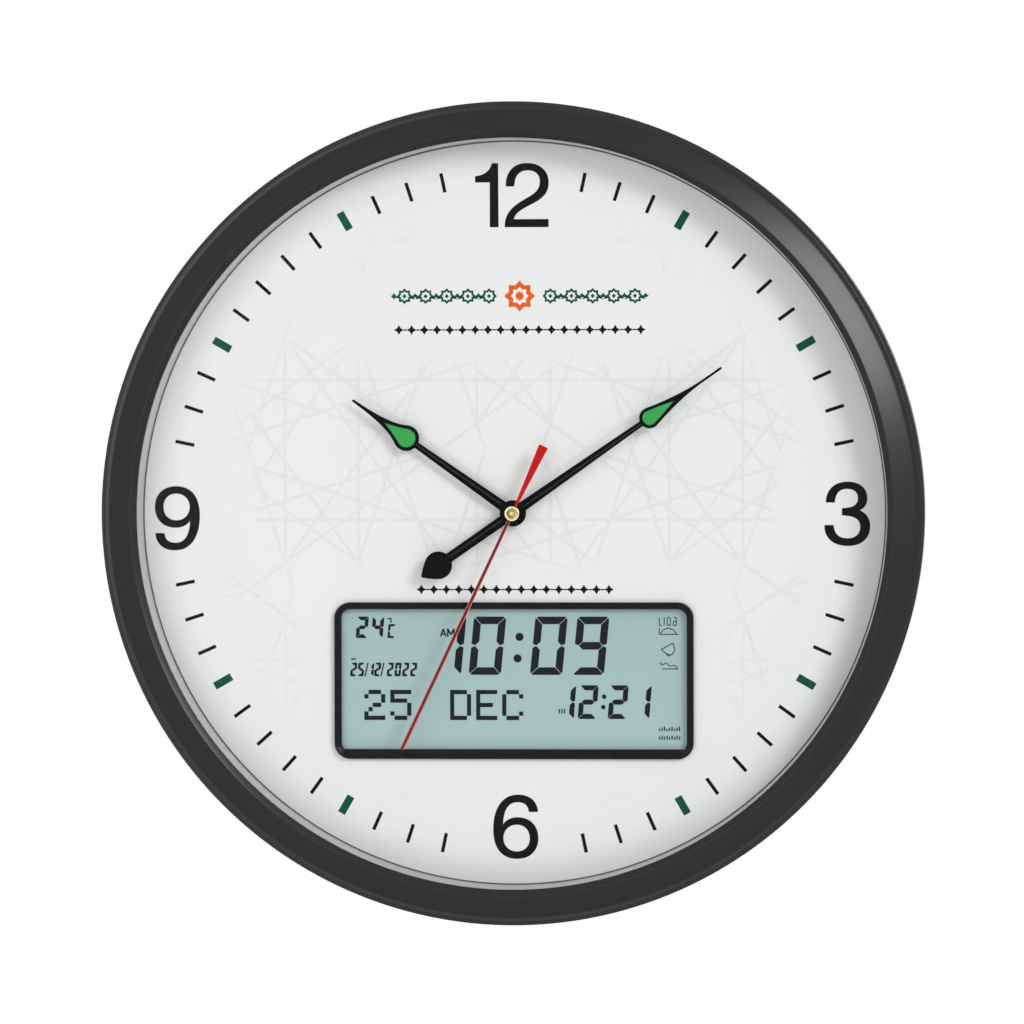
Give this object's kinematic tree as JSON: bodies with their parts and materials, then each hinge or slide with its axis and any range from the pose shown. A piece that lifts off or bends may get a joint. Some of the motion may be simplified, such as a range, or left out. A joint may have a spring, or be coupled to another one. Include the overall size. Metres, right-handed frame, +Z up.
{
  "type": "wall clock",
  "caption": "Round wall clock with hour, minute and second hands over a white dial, a wide LCD panel, a quartz movement and a keyhole hanger",
  "frame": {"origin": "centre of the round entry of the keyhole in the hanger plate, on the wall plane", "axes": "+Z up, +Y into the wall and out of the clock's back, +X to the right as seen from the front; the dial faces -Y"},
  "size_m": [0.38, 0.0444, 0.38],
  "materials": {
    "frame_charcoal": "satin charcoal",
    "clear_glass": "polished",
    "ring_grey": "satin",
    "dial_white": "printed satin",
    "bezel_black": "gloss",
    "lcd_glass": "polished",
    "reflector_white": "matte",
    "black_plastic": "fine texture",
    "cover_plastic": "moulded texture",
    "button_grey": "satin",
    "contact_rubber": "matte",
    "board_green": "solder mask",
    "chip_black": "matte",
    "steel": "zinc plated",
    "nickel": "nickel plated",
    "brass": "polished",
    "cell_sleeve": "printed sleeve",
    "cone_paper": "pressed pulp",
    "ferrite": "matte",
    "basket_metal": "black",
    "acetal": "natural",
    "copper_wire": "enamelled copper",
    "hand_black": "satin black",
    "pane_green": "tinted",
    "hand_red": "satin red"
  },
  "bodies": {
    "root": {"front_frame": "frame_charcoal", "front_glass": "clear_glass", "dial_ring": "ring_grey", "dial": "dial_white", "lcd_bezel": "bezel_black", "lcd_panel": "lcd_glass", "lcd_reflector": "reflector_white", "lcd_holder": "black_plastic", "contact_strips": "contact_rubber", "main_board": "board_green", "board_parts": "chip_black", "tact_switches": "chip_black", "back_cover": "cover_plastic", "battery_tub": "cover_plastic", "hanger_housing": "cover_plastic", "cover_posts": "cover_plastic", "cover_screws": "steel", "hanger_plate": "steel", "hanger_rivets": "nickel", "left_contacts": "nickel", "right_contacts": "nickel", "speaker_basket": "basket_metal", "speaker_magnet": "ferrite", "speaker_cone": "cone_paper", "movement_case": "black_plastic", "movement_lid": "black_plastic", "movement_board": "board_green", "stator": "steel", "coil": "copper_wire", "coil_bobbin": "acetal", "cell_contacts": "nickel", "cushion_washer": "contact_rubber", "dial_washer": "brass", "dial_nut": "brass"},
    "hour": {"hour_wheel": "acetal", "hour_hand": "hand_black", "hour_insert": "pane_green"},
    "minute": {"minute_pinion": "brass", "minute_hand": "hand_black", "minute_insert": "pane_green"},
    "second": {"second_wheel": "acetal", "second_hand": "hand_red", "second_cap": "brass"},
    "third": {"third_wheel": "acetal"},
    "centre": {"centre_wheel": "brass"},
    "idler": {"idler_wheel": "acetal"},
    "rotor": {"rotor_pinion": "acetal", "rotor_magnet": "ferrite"},
    "motion": {"motion_wheel": "acetal", "setting_knob": "black_plastic"},
    "mode_key": {"mode_button": "button_grey"},
    "set_key": {"set_button": "button_grey"},
    "up_key": {"up_button": "button_grey"},
    "down_key": {"down_button": "button_grey"},
    "volume_key": {"volume_button": "button_grey"},
    "light_key": {"light_button": "button_grey"},
    "door": {"battery_door": "cover_plastic"},
    "lower_battery": {"lower_cell": "cell_sleeve"},
    "upper_battery": {"upper_cell": "cell_sleeve"},
    "movement_battery": {"movement_cell": "cell_sleeve"}
  },
  "joints": [
    {"name": "minute_turn", "type": "hinge", "parent": "root", "child": "minute", "pos_m": [0, -0.012, -0.146], "axis": [0, 1, 0], "continuous": true},
    {"name": "hour_turn", "type": "hinge", "parent": "root", "child": "hour", "pos_m": [0, -0.012, -0.146], "axis": [0, 1, 0], "continuous": true},
    {"name": "motion_turn", "type": "hinge", "parent": "root", "child": "motion", "pos_m": [-0.0108, -0.012, -0.146], "axis": [0, 1, 0], "continuous": true},
    {"name": "second_turn", "type": "hinge", "parent": "root", "child": "second", "pos_m": [0, -0.012, -0.146], "axis": [0, 1, 0], "continuous": true},
    {"name": "third_turn", "type": "hinge", "parent": "root", "child": "third", "pos_m": [0, -0.012, -0.1358], "axis": [0, 1, 0], "continuous": true},
    {"name": "centre_turn", "type": "hinge", "parent": "root", "child": "centre", "pos_m": [0, -0.012, -0.146], "axis": [0, 1, 0], "continuous": true},
    {"name": "idler_turn", "type": "hinge", "parent": "root", "child": "idler", "pos_m": [0.0106, -0.012, -0.146], "axis": [0, 1, 0], "continuous": true},
    {"name": "rotor_turn", "type": "hinge", "parent": "root", "child": "rotor", "pos_m": [0.01702, -0.012, -0.13958], "axis": [0, 1, 0], "continuous": true},
    {"name": "mode_press", "type": "slide", "parent": "root", "child": "mode_key", "axis": [0, -1, 0], "range_m": [0, 0.0008], "stiffness_N_per_m": 800},
    {"name": "set_press", "type": "slide", "parent": "root", "child": "set_key", "axis": [0, -1, 0], "range_m": [0, 0.0008], "stiffness_N_per_m": 800},
    {"name": "up_press", "type": "slide", "parent": "root", "child": "up_key", "axis": [0, -1, 0], "range_m": [0, 0.0008], "stiffness_N_per_m": 800},
    {"name": "down_press", "type": "slide", "parent": "root", "child": "down_key", "axis": [0, -1, 0], "range_m": [0, 0.0008], "stiffness_N_per_m": 800},
    {"name": "volume_press", "type": "slide", "parent": "root", "child": "volume_key", "axis": [0, -1, 0], "range_m": [0, 0.0008], "stiffness_N_per_m": 800},
    {"name": "light_press", "type": "slide", "parent": "root", "child": "light_key", "axis": [0, -1, 0], "range_m": [0, 0.0008], "stiffness_N_per_m": 800},
    {"name": "door_lift", "type": "slide", "parent": "root", "child": "door", "axis": [0, 1, 0], "range_m": [0, 0.06]},
    {"name": "lower_battery_lift", "type": "slide", "parent": "root", "child": "lower_battery", "axis": [0, 1, 0], "range_m": [0, 0.03]},
    {"name": "upper_battery_lift", "type": "slide", "parent": "root", "child": "upper_battery", "axis": [0, 1, 0], "range_m": [0, 0.03]},
    {"name": "movement_battery_lift", "type": "slide", "parent": "root", "child": "movement_battery", "axis": [0, 1, 0], "range_m": [0, 0.03]}
  ],
  "couplings": [
    {"joint": "hour_turn", "follows": "minute_turn", "ratio": 0.083333},
    {"joint": "motion_turn", "follows": "minute_turn", "ratio": -0.33333},
    {"joint": "third_turn", "follows": "second_turn", "ratio": -0.13333},
    {"joint": "centre_turn", "follows": "second_turn", "ratio": 0.016667},
    {"joint": "idler_turn", "follows": "second_turn", "ratio": -6},
    {"joint": "rotor_turn", "follows": "second_turn", "ratio": 30},
    {"joint": "lower_battery_lift", "follows": "door_lift", "ratio": 0.5},
    {"joint": "upper_battery_lift", "follows": "door_lift", "ratio": 0.5}
  ]
}
